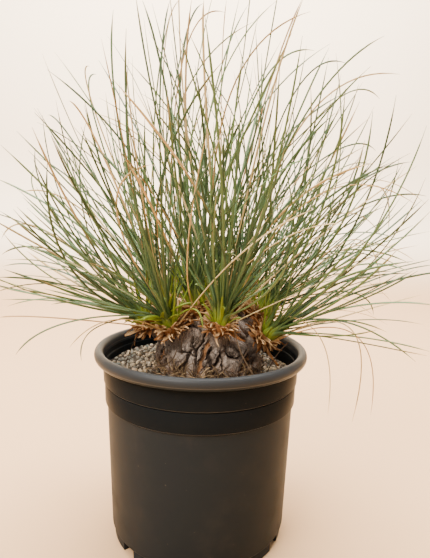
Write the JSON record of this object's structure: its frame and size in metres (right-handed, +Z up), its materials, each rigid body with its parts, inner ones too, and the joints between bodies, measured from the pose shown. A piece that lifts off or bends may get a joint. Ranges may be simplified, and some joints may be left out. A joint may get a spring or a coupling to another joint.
{
  "type": "potted calibanus",
  "caption": "Calibanus plant in a black nursery pot: a squat plated trunk with tufts of long grassy leaves, standing in gravel.",
  "frame": {"origin": "middle of the pot's underside, on the flat boss that it can be set down on", "axes": "+Z up along the pot's axis; -Y is the side seen in the picture and +X is the picture's right"},
  "size_m": [0.3293, 0.306, 0.4153],
  "materials": {
    "pot_plastic": "satin black moulded plastic",
    "gravel": "dry mixed grit",
    "bark": "corky, cracked into plates",
    "leaf_green": "waxy grey-green",
    "dry_leaf": "dry, papery"
  },
  "bodies": {
    "root": {"pot": "pot_plastic", "soil": "gravel", "trunk": "bark", "leaves_01": "leaf_green", "leaves_02": "leaf_green", "leaves_03": "leaf_green", "leaves_04": "leaf_green", "leaves_05": "leaf_green", "leaves_06": "leaf_green", "leaves_07": "leaf_green", "leaves_08": "leaf_green", "leaves_09": "leaf_green", "leaves_10": "leaf_green", "leaves_11": "leaf_green", "leaves_12": "leaf_green", "husk_01": "dry_leaf", "husk_02": "dry_leaf", "husk_03": "dry_leaf", "husk_04": "dry_leaf", "husk_05": "dry_leaf", "husk_06": "dry_leaf", "husk_07": "dry_leaf", "husk_08": "dry_leaf", "husk_09": "dry_leaf", "husk_10": "dry_leaf", "husk_11": "dry_leaf", "husk_12": "dry_leaf"}
  },
  "joints": []
}
